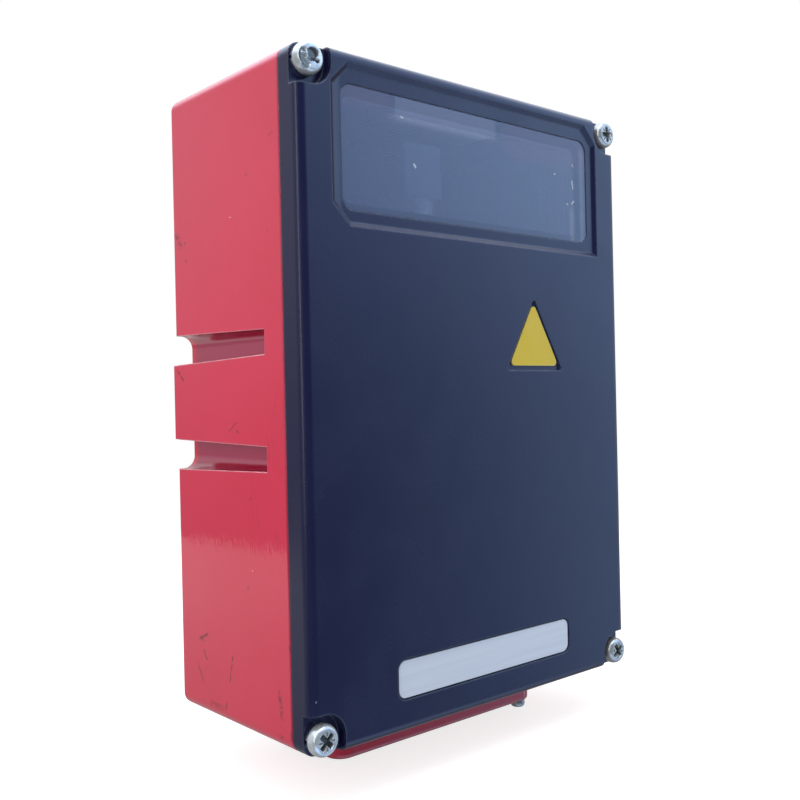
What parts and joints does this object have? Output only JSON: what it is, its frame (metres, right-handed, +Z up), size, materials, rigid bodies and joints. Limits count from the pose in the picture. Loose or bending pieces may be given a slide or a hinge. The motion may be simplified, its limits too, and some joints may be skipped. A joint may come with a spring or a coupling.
{
  "type": "industrial barcode reader",
  "caption": "Fixed industrial barcode reader: red die-cast housing with side clamp grooves, dark screwed front cover, tinted scan window and a connector collar underneath.",
  "frame": {"origin": "middle of the rear mounting band, on its flat face", "axes": "+X to the right seen from the front, +Y to the rear out of the mounting band, +Z up along the housing's height"},
  "size_m": [0.123, 0.0651, 0.1857],
  "materials": {
    "red_paint": "glossy red enamel on die-cast aluminium, scuffed",
    "collar_paint": "glossy red enamel on die-cast aluminium",
    "navy_paint": "semi-gloss dark blue enamel on die-cast aluminium",
    "window_glass": "tinted blue-grey glass",
    "seal_rubber": "matte black seal",
    "sign_yellow": "plain yellow film",
    "plate_silver": "satin silver-white plate",
    "zinc_steel": "bright zinc plating",
    "washer_steel": "dulled zinc plating",
    "connector_steel": "tinned sheet steel",
    "connector_plastic": "black moulding",
    "gold_contact": "gold-plated contacts",
    "bare_aluminium": "as cast",
    "motor_steel": "plated steel",
    "bearing_brass": "turned brass",
    "coil_copper": "varnished copper winding",
    "mirror_face": "polished mirror",
    "lens_glass": "clear lens",
    "black_plastic": "matte black moulding",
    "pale_plastic": "matte pale grey moulding",
    "board_green": "green board lacquer",
    "capacitor_sleeve": "shrink sleeve"
  },
  "bodies": {
    "case": {"housing": "red_paint", "front_cover": "navy_paint", "window_pane": "window_glass", "window_seal": "seal_rubber", "sign_plate": "sign_yellow", "name_plate": "plate_silver", "light_shield": "pale_plastic", "cover_gasket": "seal_rubber", "cover_screws": "zinc_steel", "cover_screw_washers": "washer_steel", "connector_collar": "collar_paint", "collar_gasket": "seal_rubber", "collar_screws": "zinc_steel", "collar_screw_washers": "washer_steel", "data_plug_shell": "connector_steel", "data_plug_insert": "connector_plastic", "data_plug_pins": "gold_contact", "service_socket_shell": "connector_steel", "service_socket_insert": "connector_plastic", "jack_screws": "connector_steel", "optics_carrier": "bare_aluminium", "carrier_screws": "zinc_steel", "board_screws": "zinc_steel", "motor_screws": "zinc_steel", "motor_plate": "motor_steel", "bearing_sleeve": "bearing_brass", "motor_coils": "coil_copper", "laser_block": "black_plastic", "laser_barrel": "bearing_brass", "laser_diode": "motor_steel", "laser_lens": "lens_glass", "fold_mirror": "mirror_face", "lens_holder": "black_plastic", "collector_lens": "lens_glass", "receiver_board": "board_green", "photodiode": "black_plastic", "main_board": "board_green", "board_chips": "black_plastic", "board_capacitors": "capacitor_sleeve", "board_header": "black_plastic"},
    "scanner_mirror": {"spindle": "motor_steel", "rotor_cup": "motor_steel", "mirror_wheel": "mirror_face", "mirror_clip": "motor_steel"}
  },
  "joints": [
    {"name": "mirror_spin", "type": "hinge", "parent": "case", "child": "scanner_mirror", "pos_m": [-0.008, -0.033, 0.063], "axis": [0, 0, 1], "continuous": true}
  ]
}
